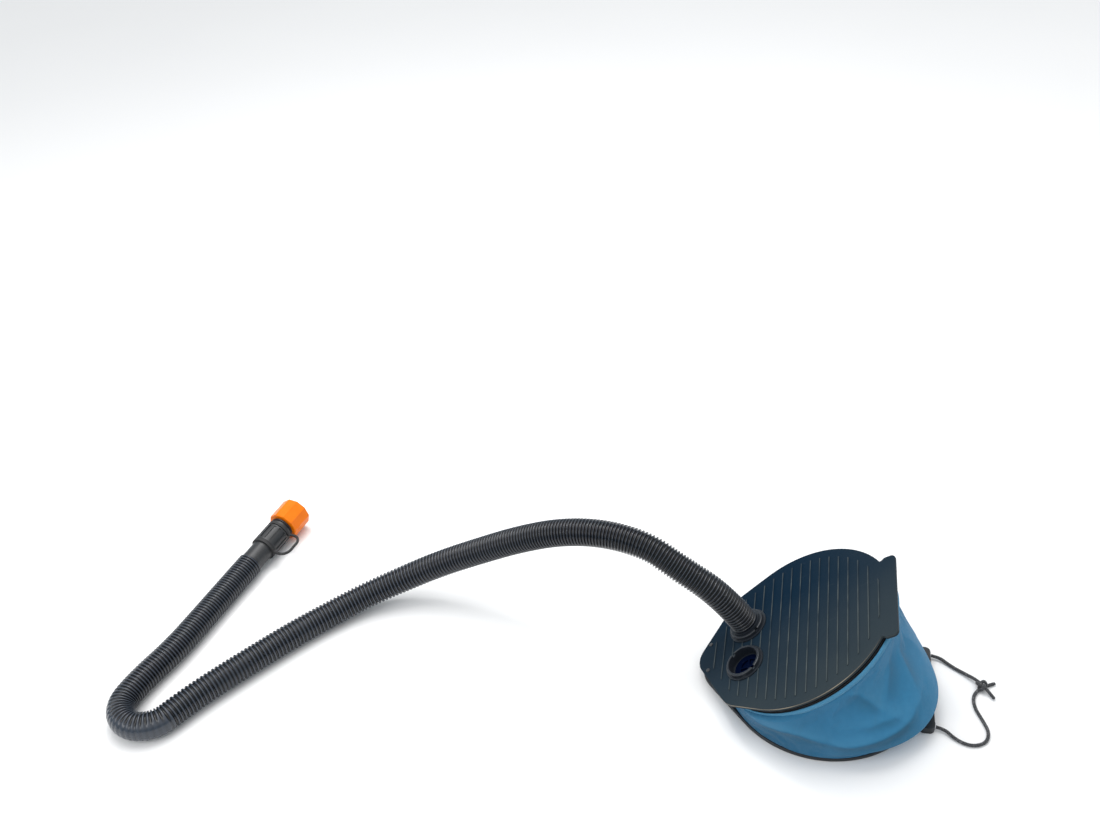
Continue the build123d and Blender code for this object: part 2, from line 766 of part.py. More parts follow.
with BuildPart() as tether_strap:
    for level, bore in tether_rings:
        with BuildSketch(fitting_plane.offset(level)):
            Circle(bore + running_slack + tether_ring)
        extrude(amount=tether_ring_width)
    with BuildLine(tether_plane):
        bow = FilletPolyline(
            (cuff_radius + tether_root, tether_middles[0]),
            (tether_bow, tether_middles[0] - tether_ring_width / 2),
            (tether_bow, tether_middles[1] + tether_ring_width / 2),
            (neck_radius + tether_root, tether_middles[1]),
            radius=tether_corner,
        )
    with BuildSketch(Plane(bow @ 0, z_dir=bow % 0)):
        Circle(tether_section)
    sweep(path=bow)
    for level, bore in tether_rings:
        with BuildSketch(fitting_plane.offset(level)):
            Circle(bore + running_slack)
        extrude(amount=tether_ring_width, mode=Mode.SUBTRACT)
finish(tether_strap, "tether_strap")

# ---- closing cord -----------------------------------------------------------------------------
cord_rest = cord_radius
cord_start = base_toe - plate_reach - cord_hole_depth
far_cord_points = [
    Vector(cord_start, cord_hole_offset, hole_level),
    Vector(132, cord_hole_offset, hole_level),
    Vector(147, 41, cord_rest),
    Vector(163, 30, cord_rest + 0.8),
    Vector(174, 20, 6.3),
    Vector(184, 8, 6.3),
    Vector(193, -3, cord_rest + 0.1),
]
near_cord_points = [
    Vector(cord_start, -cord_hole_offset, hole_level),
    Vector(132, -cord_hole_offset, hole_level),
    Vector(146, -67, cord_rest),
    Vector(163, -74, cord_rest),
    Vector(179, -67, cord_rest),
    Vector(183, -51, cord_rest),
    Vector(177, -35, cord_rest),
    Vector(170, -19, cord_rest),
    Vector(169, -3, cord_rest),
    Vector(176, 9, cord_rest),
    Vector(186, 16, cord_rest),
    Vector(196, 21, cord_rest),
]
make_tube(far_cord_points, cord_radius, 0, "closing_cord_far")
make_tube(near_cord_points, cord_radius, 0, "closing_cord_near")

knot_radius = 6.5
knot_centre = (179.5, 12.5, 5.6)
with BuildPart() as cord_knot:
    with Locations(knot_centre):
        Sphere(knot_radius)
    split(bisect_by=Plane.XY, keep=Keep.TOP)
finish(cord_knot, "cord_knot")

eyelet_outer = 4.0
eyelet_thickness = 0.8
with BuildPart() as cord_eyelets:
    with BuildSketch(toe_plane):
        with Locations((cord_hole_offset, 0), (-cord_hole_offset, 0)):
            Circle(eyelet_outer)
            Circle(cord_hole_radius, mode=Mode.SUBTRACT)
    extrude(amount=eyelet_thickness)
finish(cord_eyelets, "cord_eyelets")
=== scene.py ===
"""The looks of a bellows foot pump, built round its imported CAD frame.  Metres, +Z up, the frame's axes."""
import json
from math import atan2, cos, pi, radians, sin

import bpy
import numpy as np
from mathutils import Matrix, Vector


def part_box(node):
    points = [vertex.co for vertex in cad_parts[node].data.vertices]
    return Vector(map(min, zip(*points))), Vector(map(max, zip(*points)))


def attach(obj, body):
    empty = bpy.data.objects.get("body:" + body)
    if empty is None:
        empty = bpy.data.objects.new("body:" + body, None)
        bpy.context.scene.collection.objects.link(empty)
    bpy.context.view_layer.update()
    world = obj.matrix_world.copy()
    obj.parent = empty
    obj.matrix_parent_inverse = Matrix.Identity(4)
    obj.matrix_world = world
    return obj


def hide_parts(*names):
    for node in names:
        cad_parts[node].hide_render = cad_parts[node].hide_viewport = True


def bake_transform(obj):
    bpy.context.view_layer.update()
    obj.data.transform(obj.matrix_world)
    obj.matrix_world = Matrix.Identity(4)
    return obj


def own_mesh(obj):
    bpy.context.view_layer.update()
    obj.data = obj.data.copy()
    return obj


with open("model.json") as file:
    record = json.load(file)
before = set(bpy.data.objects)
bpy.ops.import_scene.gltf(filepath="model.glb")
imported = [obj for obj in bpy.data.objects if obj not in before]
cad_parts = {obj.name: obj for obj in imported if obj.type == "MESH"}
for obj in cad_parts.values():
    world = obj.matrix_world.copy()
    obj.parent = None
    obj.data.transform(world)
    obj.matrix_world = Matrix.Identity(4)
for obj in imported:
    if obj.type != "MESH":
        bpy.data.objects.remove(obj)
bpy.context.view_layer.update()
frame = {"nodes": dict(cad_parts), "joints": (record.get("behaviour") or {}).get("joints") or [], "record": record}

MM = 0.001
nodes = frame["nodes"]
joints = {joint["name"]: joint for joint in frame["joints"]}
mounts = {mount["name"]: mount for mount in frame["record"]["mounts"]}

# ---- the two plates' own directions ------------------------------------------------------------
hinge = Vector(joints["plate_hinge"]["pos_m"])
top_up = Vector(mounts["inlet_socket"]["axis"])          # square to the top plate
top_along = Vector((top_up.z, 0, -top_up.x))             # from the hinge to the toe bar
open_angle = atan2(-top_up.x, top_up.z)
plate_reach = -hinge.x                                   # hinge to the centre of the disc
base_thickness = 4.5 * MM
base_top = base_thickness - hinge.z                      # heights are counted from the hinge axis
top_face = 14 * MM
skirt_bottom = 7.5 * MM


def on_top(x, y, z):
    """A point from its place in the top plate's plane, counted from the hinge."""
    return hinge + x * top_along + Vector((0, y, 0)) + z * top_up


# ---- camera, light and floor -------------------------------------------------------------------
def add_camera():
    """The camera that sees the pump as the photograph does."""
    data = bpy.data.cameras.new("camera")
    data.sensor_width = 36
    data.lens = 39.27
    data.clip_start = 0.05
    camera = bpy.data.objects.new("camera", data)
    bpy.context.scene.collection.objects.link(camera)
    place = (-0.0517, -0.9751, 1.1282)
    azimuth, drop, roll = radians(14.4), radians(36.74), radians(-5.25)
    tilt = Matrix.Rotation(pi / 2 - drop, 4, "X") @ Matrix.Rotation(roll, 4, "Z")
    camera.matrix_world = Matrix.Translation(place) @ Matrix.Rotation(azimuth, 4, "Z") @ tilt
    bpy.context.scene.camera = camera


def add_softbox(name, place, aim, size, watts):
    data = bpy.data.lights.new(name, "AREA")
    data.shape = "RECTANGLE"
    data.size, data.size_y = size
    data.energy = watts
    light = bpy.data.objects.new(name, data)
    bpy.context.scene.collection.objects.link(light)
    light.location = place
    light.rotation_euler = (Vector(aim) - Vector(place)).to_track_quat("-Z", "Y").to_euler()


def add_world():
    """A white studio whose walls fall off to a cool grey low down."""
    world = bpy.data.worlds.new("studio")
    world.use_nodes = True
    tree = world.node_tree
    bpy.context.scene.world = world
    place = tree.nodes.new("ShaderNodeTexCoord")
    height = tree.nodes.new("ShaderNodeSeparateXYZ")
    walls = tree.nodes.new("ShaderNodeValToRGB")
    walls.color_ramp.elements[0].position = 0.12
    walls.color_ramp.elements[0].color = (0.16, 0.27, 0.36, 1)
    walls.color_ramp.elements[1].position = 0.62
    walls.color_ramp.elements[1].color = (1, 1, 1, 1)
    tree.links.new(place.outputs["Generated"], height.inputs[0])
    tree.links.new(height.outputs["Z"], walls.inputs["Fac"])
    tree.links.new(walls.outputs["Color"], tree.nodes["Background"].inputs["Color"])
    tree.nodes["Background"].inputs["Strength"].default_value = 1.0


def add_floor():
    bpy.ops.mesh.primitive_plane_add(size=14, location=(-0.3, 0, -0.0003))
    floor = bpy.context.active_object
    floor.name = "floor"
    floor.data.materials.append(floor_paint().material)


# ---- materials ---------------------------------------------------------------------------------
class Paint:
    """A material made of nodes.  An input takes a number, a colour or another node's output."""

    def __init__(self, name):
        self.material = bpy.data.materials.new(name)
        self.material.use_nodes = True
        self.tree = self.material.node_tree
        self.surface = self.tree.nodes["Principled BSDF"]

    def feed(self, socket, value):
        if isinstance(value, bpy.types.NodeSocket):
            self.tree.links.new(value, socket)
        elif isinstance(value, Vector):
            socket.default_value = tuple(value)
        else:
            socket.default_value = value

    def add(self, kind, inputs, output=0, **settings):
        node = self.tree.nodes.new("ShaderNode" + kind)
        for key, value in settings.items():
            setattr(node, key, value)
        for key, value in inputs.items():
            self.feed(node.inputs[key], value)
        return node.outputs[output]

    def place(self):
        return self.add("TexCoord", {}, "Object")

    def stretched(self, scale, turn=(0, 0, 0)):
        return self.add("Mapping", {"Vector": self.place(), "Scale": scale, "Rotation": turn})

    def maths(self, operation, *values, clamp=False):
        return self.add("Math", dict(enumerate(values)), operation=operation, use_clamp=clamp)

    def noise(self, scale, detail=2.0, place=None):
        inputs = {"Vector": place or self.place(), "Scale": scale, "Detail": detail}
        return self.add("TexNoise", inputs, "Fac")

    def spread(self, value, low, high, to_low=0.0, to_high=1.0):
        """A value's range from low to high, laid onto another range."""
        inputs = {"Value": value, "From Min": low, "From Max": high, "To Min": to_low, "To Max": to_high}
        return self.add("MapRange", inputs)

    def mix(self, share, first, second):
        return self.add("Mix", {0: share, 6: first, 7: second}, 2, data_type="RGBA")

    def colour(self, value):
        self.feed(self.surface.inputs["Base Color"], value)

    def tone_so_far(self):
        return self.surface.inputs["Base Color"].links[0].from_socket

    def rough(self, value):
        self.feed(self.surface.inputs["Roughness"], value)

    def set(self, **inputs):
        for key, value in inputs.items():
            self.feed(self.surface.inputs[key.replace("_", " ")], value)

    def bump(self, height, distance, strength=1.0, under=None):
        inputs = {"Height": height, "Distance": distance, "Strength": strength}
        if under is not None:
            inputs["Normal"] = under
        normal = self.add("Bump", inputs)
        self.feed(self.surface.inputs["Normal"], normal)
        return normal


def rgb(red, green, blue):
    return (red, green, blue, 1)


def floor_paint():
    paint = Paint("floor_pale")
    paint.colour(paint.mix(paint.noise(1.5), rgb(0.86, 0.86, 0.86), rgb(0.9, 0.9, 0.9)))
    paint.rough(0.9)
    return paint


def moulded(name, dark, light, low_rough, high_rough, grain=0.00006):
    """Moulded plastic: soft patches of tone, a fine grain and faint scuffs."""
    paint = Paint(name)
    patches = paint.noise(14, 3)
    scuffs = paint.spread(paint.noise(60, 4, paint.stretched((1, 6, 1), (0.3, 0.2, 0.7))), 0.62, 0.8)
    tone = paint.mix(patches, dark, light)
    paint.colour(paint.mix(paint.maths("MULTIPLY", scuffs, 0.25), tone, rgb(0.12, 0.13, 0.14)))
    rough = paint.spread(patches, 0.3, 0.7, low_rough, high_rough)
    paint.rough(paint.maths("ADD", rough, paint.maths("MULTIPLY", scuffs, 0.12)))
    paint.bump(paint.noise(1500, 3), grain)
    return paint


def top_plate_paint():
    """The tread face: painted reflection, navy at the back and grey in front, and paler raised lines, partly wear
    and partly painted highlight.
    """
    paint = moulded("top_plate_plastic", rgb(0.004, 0.009, 0.013), rgb(0.012, 0.018, 0.024), 0.3, 0.42)
    apart = paint.add("VectorMath", {0: paint.place(), 1: hinge}, operation="SUBTRACT")
    height = paint.add("VectorMath", {0: apart, 1: top_up}, "Value", operation="DOT_PRODUCT")
    # The raised tread lines are paler on top: partly wear, partly a painted highlight.
    raised = paint.spread(height, top_face + 0.45 * MM, top_face + 0.75 * MM)
    lines = paint.maths("MULTIPLY", raised, paint.spread(height, top_face + 1.2 * MM, top_face + 1.0 * MM))
    worn_and_highlit = paint.maths("MULTIPLY", lines, paint.spread(paint.noise(40, 3), 0.3, 0.7, 0.15, 0.75))
    base = paint.tone_so_far()
    toward_toe = paint.add("SeparateXYZ", {0: apart}, 0)
    toward_far = paint.add("SeparateXYZ", {0: apart}, 1)
    # Painted reflection: paler grey toward the front and the toe, over a navy tint on the rest of the plate.
    near_painted_reflection = paint.spread(toward_far, 0.06, -0.11)
    toe_painted_reflection = paint.spread(toward_toe, 0.09, 0.2, 0.0, 0.45)
    grey_painted_reflection = paint.maths("ADD", near_painted_reflection, toe_painted_reflection)
    grey_painted_reflection = paint.maths("MULTIPLY", grey_painted_reflection, paint.spread(paint.noise(9, 3), 0.3, 0.7, 0.75, 1.1), clamp=True)
    base = paint.mix(grey_painted_reflection, paint.mix(0.7, base, rgb(0.0003, 0.013, 0.032)), rgb(0.026, 0.036, 0.042))
    paint.colour(paint.mix(worn_and_highlit, base, rgb(0.085, 0.098, 0.096)))
    # A thin tan line painted along the near edge: a painted highlight on its rounded edge.
    edge = paint.maths("MULTIPLY", paint.spread(height, top_face - 1.5 * MM, top_face - 1.1 * MM),
                       paint.spread(height, top_face - 0.3 * MM, top_face - 0.6 * MM))
    near = paint.maths("MULTIPLY", edge, paint.spread(toward_far, -0.055, -0.085))
    edge_painted_highlight = paint.maths("MULTIPLY", near, paint.spread(paint.noise(25, 2), 0.35, 0.6, 0.35, 1.0), clamp=True)
    paint.colour(paint.mix(edge_painted_highlight, paint.tone_so_far(), rgb(0.3, 0.26, 0.2)))
    paint.set(Specular_IOR_Level=0.04)
    return paint


def hose_paint():
    """Glossy ribs, with painted shade darkening the grooves between, and a painted sheen making the hose's far
    half paler.
    """
    paint = moulded("hose_plastic", rgb(0.008, 0.011, 0.017), rgb(0.02, 0.026, 0.037), 0.18, 0.3, 0.00001)
    crest = paint.add("Attribute", {}, "Fac", attribute_name="rib_crest")
    base = paint.tone_so_far()
    # Painted sheen: the hose's far half is paler and bluer.
    far_painted_sheen = paint.spread(paint.add("SeparateXYZ", {0: paint.place()}, 0), -0.32, -0.6, 0.0, 0.7)
    base = paint.mix(far_painted_sheen, base, rgb(0.045, 0.054, 0.071))
    # Painted shade: the grooves go nearly black, by how far down each point sits from a rib's crest.
    paint.colour(paint.mix(paint.spread(crest, 0.3, 1.0), rgb(0.0008, 0.001, 0.0016), base))
    return paint


def steel_paint():
    """Bright zinc plate with faint brushing."""
    paint = Paint("zinc_steel")
    brushed = paint.noise(90, 4, paint.stretched((1, 1, 14)))
    paint.colour(paint.mix(brushed, rgb(0.36, 0.36, 0.38), rgb(0.62, 0.62, 0.65)))
    paint.rough(paint.spread(brushed, 0.3, 0.7, 0.24, 0.45))
    paint.set(Metallic=1.0)
    paint.bump(brushed, 0.00003)
    return paint


def nut_paint():
    """Glossy orange plastic with a little depth of colour."""
    paint = Paint("orange_plastic")
    patches = paint.noise(60, 3)
    paint.colour(paint.mix(patches, rgb(0.74, 0.145, 0.0005), rgb(0.86, 0.195, 0.001)))
    paint.rough(paint.spread(patches, 0.3, 0.7, 0.28, 0.4))
    paint.set(Subsurface_Weight=0.05, Subsurface_Radius=(0.004, 0.001, 0.0005), Specular_IOR_Level=0.18)
    paint.bump(paint.noise(1200, 3), 0.00004)
    return paint


def fabric_paint():
    """Coated nylon: a fine plain weave, slight fading, painted shade and light on the folds, painted shade toward
    the hinge, and a soft sheen.
    """
    paint = Paint("bellows_nylon")
    weave_place = paint.add("TexCoord", {}, "UV")
    along = paint.add("SeparateXYZ", {0: weave_place}, 0)
    across = paint.add("SeparateXYZ", {0: weave_place}, 1)
    threads = 2 * pi / (0.55 * MM)
    warp = paint.maths("SINE", paint.maths("MULTIPLY", along, threads))
    weft = paint.maths("SINE", paint.maths("MULTIPLY", across, threads))
    weave = paint.maths("MULTIPLY", warp, weft)
    fading = paint.noise(7, 3)
    mottle = paint.noise(160, 4)
    tone = paint.mix(fading, rgb(0.022, 0.15, 0.29), rgb(0.037, 0.19, 0.35))
    toward_toe = paint.add("SeparateXYZ", {0: paint.place()}, 0)
    # The fabric is paler toward the toe, and darker toward the hinge with painted shade.
    tone = paint.mix(paint.spread(toward_toe, 0.03, 0.11, 0.0, 0.6), tone, rgb(0.04, 0.23, 0.42))
    hinge_painted_shade = paint.spread(toward_toe, 0.02, -0.06)
    tone = paint.mix(paint.maths("MULTIPLY", hinge_painted_shade, 0.8, clamp=True), tone, rgb(0.007, 0.085, 0.175))
    # Painted shade below each fold's crest and painted light above it, from fold_shade.
    shade = paint.add("Attribute", {}, "Fac", attribute_name="fold_shade")
    tone = paint.mix(paint.spread(shade, 0.0, 0.7, 0.0, 0.95), tone, rgb(0.01, 0.085, 0.155))
    tone = paint.mix(paint.spread(shade, 0.0, -0.7, 0.0, 0.8), tone, rgb(0.066, 0.26, 0.43))
    tone = paint.mix(paint.spread(mottle, 0.35, 0.65, 0.0, 0.18), tone, rgb(0.022, 0.13, 0.25))
    # The stitched hem is paler.
    tone = paint.mix(paint.spread(across, 0.1375, 0.1385, 0.0, 0.5), tone, rgb(0.10, 0.31, 0.48))
    threaded = paint.spread(weave, -1, 1, 0.0, 0.12)
    paint.colour(paint.mix(threaded, tone, rgb(0.08, 0.28, 0.46)))
    paint.rough(paint.spread(fading, 0.3, 0.7, 0.55, 0.68))
    paint.set(Sheen_Weight=0.06, Sheen_Roughness=0.4, Specular_IOR_Level=0.18)
    soft = paint.bump(paint.noise(45, 3), 0.0012, 0.5)
    paint.bump(weave, 0.00012, 0.6, under=soft)
    return paint


def cord_paint():
    """A braided cord: charcoal strands with paler flecks and painted shade in the hollows between them, laid out
    along its own UVs.
    """
    paint = Paint("braided_cord")
    spot = paint.add("TexCoord", {}, "UV")
    winding = 2 * pi * BRAID_STRANDS
    around = paint.maths("MULTIPLY", paint.add("SeparateXYZ", {0: spot}, 0), winding)
    along = paint.maths("MULTIPLY", paint.add("SeparateXYZ", {0: spot}, 1), winding / BRAID_PITCH)
    one_way = paint.maths("SINE", paint.maths("ADD", around, along))
    other_way = paint.maths("SINE", paint.maths("SUBTRACT", around, along))
    strands = paint.maths("MAXIMUM", one_way, other_way)
    flecks = paint.spread(paint.noise(420, 2), 0.56, 0.66)
    # Painted shade: darker in the hollows between the strands.
    tone = paint.mix(paint.spread(strands, 0, 1), rgb(0.012, 0.012, 0.014), rgb(0.045, 0.046, 0.05))
    paint.colour(paint.mix(paint.maths("MULTIPLY", flecks, 0.5), tone, rgb(0.2, 0.2, 0.21)))
    paint.rough(0.75)
    paint.set(Sheen_Weight=0.2)
    paint.bump(paint.noise(2500, 2), 0.0001)
    return paint


# ---- meshes ------------------------------------------------------------------------------------
def link(name, data):
    piece = bpy.data.objects.new(name, data)
    bpy.context.scene.collection.objects.link(piece)
    return piece


def grid(name, rows, around, along, paint, capped=False):
    """A closed strip of faces through rows of points.  around and along are the UV lengths in metres."""
    count, sides = rows.shape[:2]
    faces = [
        (r * sides + c, r * sides + (c + 1) % sides, (r + 1) * sides + (c + 1) % sides, (r + 1) * sides + c)
        for r in range(count - 1)
        for c in range(sides)
    ]
    if capped:
        faces.append(tuple(reversed(range(sides))))
        faces.append(tuple(range((count - 1) * sides, count * sides)))
    mesh = bpy.data.meshes.new(name)
    mesh.from_pydata(rows.reshape(-1, 3).tolist(), [], faces)
    mesh.polygons.foreach_set("use_smooth", [True] * len(mesh.polygons))
    layer = mesh.uv_layers.new(name="UVMap")
    for r in range(count - 1):
        for c in range(sides):
            first = mesh.polygons[r * sides + c].loop_start
            left, right = around * c / sides, around * (c + 1) / sides
            corners = (left, along[r]), (right, along[r]), (right, along[r + 1]), (left, along[r + 1])
            for k, corner in enumerate(corners):
                layer.data[first + k].uv = corner
    mesh.materials.append(paint.material)
    return link(name, mesh)


def nurbs_line(name, points):
    """The smooth line that a route's points control, as points read from its NURBS spline."""
    curve = bpy.data.curves.new(name, "CURVE")
    curve.dimensions = "3D"
    curve.resolution_u = 48
    spline = curve.splines.new("NURBS")
    spline.points.add(len(points) - 1)
    for control, point in zip(spline.points, points):
        control.co = (*point, 1)
    spline.order_u = 3
    spline.use_endpoint_u = True
    holder = link(name, curve)
    mesh = bpy.data.meshes.new_from_object(holder)
    line = np.array([tuple(v.co) for v in mesh.vertices])
    bpy.data.objects.remove(holder)
    return line


def length_along(line):
    """How far each point of a line is from its start, along it."""
    steps = np.linalg.norm(np.diff(line, axis=0), axis=1)
    return np.concatenate([[0], np.cumsum(steps)])


def frames_at(line, distances):
    """Points of a line at some distances along it, with two side directions that don't twist."""
    reach = length_along(line)
    points = np.stack([np.interp(distances, reach, line[:, k]) for k in range(3)], axis=1)
    tangents = np.gradient(points, axis=0)
    tangents /= np.linalg.norm(tangents, axis=1)[:, None]
    side = np.cross(tangents[0], (0, 1, 0))
    sides = []
    for tangent in tangents:
        side = side - tangent * (side @ tangent)
        side = side / np.linalg.norm(side)
        sides.append(side)
    sides = np.array(sides)
    return points, tangents, sides, np.cross(tangents, sides)


def ring_points(points, first, second, radius):
    """Rings round a line, and their spokes.  radius has a row for each point and a column for each side."""
    angles = np.linspace(0, 2 * pi, radius.shape[1], endpoint=False)
    spokes = first[:, None] * np.cos(angles)[None, :, None] + second[:, None] * np.sin(angles)[None, :, None]
    return points[:, None] + spokes * radius[:, :, None], spokes


# ---- hose --------------------------------------------------------------------------------------
HOSE_RADIUS = 17 * MM
RIB_DEPTH = 2.3 * MM
HOSE_SIDES = 44
HOSE_SAMPLES = 2000                  # along the hose, to count its ribs by
# The ribs stand closer near the pump and near the fitting than on the long run between.
PITCH_PLACES = (0.0, 0.25, 0.42, 0.72, 0.8, 1.0)         # shares of the hose
RIB_PITCHES = (4.0 * MM, 4.1 * MM, 5.0 * MM, 5.2 * MM, 4.4 * MM, 4.2 * MM)
# A rib's section: shares of the pitch, and how far the rib stands out of its groove at each.
RIB_PLACES = (0.0, 0.15, 0.25, 0.36, 0.5, 0.64, 0.75, 0.85)
RIB_HEIGHTS = (0.0, 0.03, 0.6, 0.93, 1.0, 0.93, 0.6, 0.03)
LEVELLING_START = 0.16               # the grooves go shallow from this stretch, on the outside of a bend,
LEVELLING_RANGE = 0.2                # over this much more of it
LEVELLING = 0.85                     # how much of a groove's depth goes there
floor_rest = HOSE_RADIUS             # the centreline's height where the hose lies on the floor
hose_foot = 22 * MM                  # where the hose leaves its plug, above the hinge axis
port = (55 * MM, 29 * MM)            # the outlet's place in the top plate's plane
hose_route = [
    on_top(*port, hose_foot),
    on_top(*port, hose_foot + 50 * MM),
    Vector((-0.174, 0.038, 0.129)),
    Vector((-0.212, 0.049, 0.150)),
    Vector((-0.265, 0.061, 0.153)),
    Vector((-0.320, 0.070, 0.141)),
    Vector((-0.376, 0.078, 0.115)),
    Vector((-0.432, 0.083, 0.084)),
    Vector((-0.488, 0.082, 0.056)),
    Vector((-0.539, 0.069, 0.034)),
    Vector((-0.584, 0.046, 0.022)),
    Vector((-0.622, 0.012, floor_rest)),
    Vector((-0.656, -0.026, floor_rest)),
    Vector((-0.692, -0.072, floor_rest)),
    Vector((-0.726, -0.117, floor_rest)),
    Vector((-0.749, -0.151, floor_rest)),
    Vector((-0.769, -0.187, floor_rest)),
    Vector((-0.805, -0.193, floor_rest)),
    Vector((-0.829, -0.166, floor_rest)),
    Vector((-0.819, -0.121, floor_rest)),
    Vector((-0.799, -0.069, floor_rest)),
    Vector((-0.786, -0.012, floor_rest)),
    Vector((-0.774, 0.043, floor_rest)),
    Vector((-0.762, 0.088, 19.2 * MM)),
]


def make_hose():
    """The corrugated hose.  Its grooves go shallow on the outside of a tight bend."""
    line = nurbs_line("hose_line", hose_route)
    length = length_along(line)[-1]
    places = np.linspace(0, length, HOSE_SAMPLES)
    pitches = np.interp(places[1:] / length, PITCH_PLACES, RIB_PITCHES)
    counted = np.concatenate([[0], np.cumsum(np.diff(places) / pitches)])
    ribs = round(counted[-1])
    wanted = (np.arange(ribs)[:, None] + np.array(RIB_PLACES)[None]).ravel() / ribs * counted[-1]
    distances = np.append(np.interp(wanted, counted, places), length)
    standing = np.concatenate([np.tile(RIB_HEIGHTS, ribs), [0.0]])
    points, tangents, first, second = frames_at(line, distances)
    bend = np.gradient(tangents, axis=0) / np.gradient(distances)[:, None]
    three_ribs = np.ones(25) / 25                        # the bend is averaged over about three ribs
    bend = np.stack([np.convolve(bend[:, k], three_ribs, "same") for k in range(3)], axis=1)
    spokes = ring_points(points, first, second, np.ones((len(points), HOSE_SIDES)))[1]
    stretch = -(spokes * bend[:, None]).sum(2) * HOSE_RADIUS
    flat = np.clip((stretch - LEVELLING_START) / LEVELLING_RANGE, 0, 1)
    depth = RIB_DEPTH * (1 - LEVELLING * flat * flat * (3 - 2 * flat))
    radius = HOSE_RADIUS - depth * (1 - standing[:, None])
    rows = ring_points(points, first, second, radius)[0]
    hose = grid("corrugated_hose", rows, 2 * pi * HOSE_RADIUS, distances, hose_paint(), capped=True)
    # rib_crest: how far each point stands up from a full groove's floor; the paint darkens the grooves by it as
    # painted shade.
    crest = hose.data.attributes.new("rib_crest", "FLOAT", "POINT")
    crest.data.foreach_set("value", (1 - (1 - standing[:, None]) * depth / RIB_DEPTH).ravel())
    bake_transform(hose)
    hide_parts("hose")


# ---- closing cord ------------------------------------------------------------------------------
CORD_RADIUS = 2 * MM
CORD_SIDES = 24
BRAID_STRANDS = 4
BRAID_PITCH = 14 * MM
BRAID_STEP = 0.45 * MM
BRAID_RELIEF = 0.1                   # the share of the cord's radius that its strands stand out
TIP_RADIUS = 0.15                    # what is left of the radius at the very tip
cord_rest = CORD_RADIUS              # the centreline's height where the cord lies on the floor
hole_level = 4.5 * MM
hole_offset = 53 * MM
far_cord_route = [
    Vector((0.112, hole_offset, hole_level)),
    Vector((0.132, hole_offset, hole_level)),
    Vector((0.147, 0.041, cord_rest)),
    Vector((0.163, 0.030, cord_rest + 0.8 * MM)),
    Vector((0.174, 0.020, 6.3 * MM)),
    Vector((0.184, 0.008, 6.3 * MM)),
    Vector((0.193, -0.003, cord_rest + 0.1 * MM)),
]
near_cord_route = [
    Vector((0.112, -hole_offset, hole_level)),
    Vector((0.132, -hole_offset, hole_level)),
    Vector((0.146, -0.067, cord_rest)),
    Vector((0.163, -0.074, cord_rest)),
    Vector((0.179, -0.067, cord_rest)),
    Vector((0.183, -0.051, cord_rest)),
    Vector((0.177, -0.035, cord_rest)),
    Vector((0.170, -0.019, cord_rest)),
    Vector((0.169, -0.003, cord_rest)),
    Vector((0.176, 0.009, cord_rest)),
    Vector((0.186, 0.016, cord_rest)),
    Vector((0.196, 0.021, cord_rest)),
]


def braided_tube(name, line, paint):
    """A cord with two sets of strands that wind opposite ways, and a rounded tip."""
    length = length_along(line)[-1]
    distances = np.linspace(0, length, int(length / BRAID_STEP))
    points, tangents, first, second = frames_at(line, distances)
    angles = np.linspace(0, 2 * pi, CORD_SIDES, endpoint=False)[None]
    turn = 2 * pi * BRAID_STRANDS * distances[:, None] / BRAID_PITCH
    strands = np.maximum(np.sin(BRAID_STRANDS * angles + turn), np.sin(BRAID_STRANDS * angles - turn))
    radius = CORD_RADIUS * (1 - BRAID_RELIEF + BRAID_RELIEF * strands)
    to_tip = np.clip((length - distances) / CORD_RADIUS, 0, 1)[:, None]
    radius *= np.sqrt(1 - (1 - to_tip) ** 2) * (1 - TIP_RADIUS) + TIP_RADIUS
    rows = ring_points(points, first, second, radius)[0]
    return grid(name, rows, 1.0, distances, paint, capped=True)


def make_closing_cord():
    """Both stretches of the cord, and the knot that joins them."""
    paint = cord_paint()
    knot = make_knot(paint)
    for name, route, hole in (("far", far_cord_route, hole_offset), ("near", near_cord_route, -hole_offset)):
        line = nurbs_line(f"cord_line_{name}", route)
        cord = braided_tube(f"closing_cord_{name}_braid", line, paint)
        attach(cord, "base")
        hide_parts(f"closing_cord_{name}")


def make_knot(paint):
    """An overhand knot pulled tight: one strand that goes three ways through itself."""
    low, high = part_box("cord_knot")
    centre = (low + high) / 2
    steps, sides = 220, 16                               # along the strand and round it
    turns = np.linspace(0, 2 * pi, steps, endpoint=False)
    size, strand, drop = 1.9 * MM, 1.9 * MM, 0.4 * MM
    step_length = 0.4 * MM
    line = np.stack([
        centre.x + size * (np.sin(turns) + 2 * np.sin(2 * turns)),
        centre.y + size * (np.cos(turns) - 2 * np.cos(2 * turns)),
        centre.z - drop - 1.5 * size * np.sin(3 * turns),
    ], axis=1)
    tangents = np.roll(line, -1, axis=0) - np.roll(line, 1, axis=0)
    tangents /= np.linalg.norm(tangents, axis=1)[:, None]
    first = np.cross(tangents, (0, 0, 1))
    first /= np.linalg.norm(first, axis=1)[:, None]
    second = np.cross(tangents, first)
    closed = np.append(np.arange(len(turns)), 0)
    rows = ring_points(line[closed], first[closed], second[closed], np.full((len(closed), sides), strand))[0]
    knot = grid("cord_knot_strand", rows, 1.0, np.arange(len(closed)) * step_length, paint)
    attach(knot, "base")
    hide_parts("cord_knot")
    return knot


# ---- bellows -----------------------------------------------------------------------------------
BELLOWS_RADIUS = 113.2 * MM
BELLOWS_COLUMNS = 360
BELLOWS_ROWS = 64
WALL_FOOT = 0.5 * MM                 # above the base
WALL_HEAD = -2.3 * MM                # below the skirt's edge, so that the clamp ring shows as a black gap
BULGE = 24 * MM
BULGE_MIDDLE = radians(-25)          # where round the disc the wall sags out furthest
BULGE_SPREAD = radians(45)
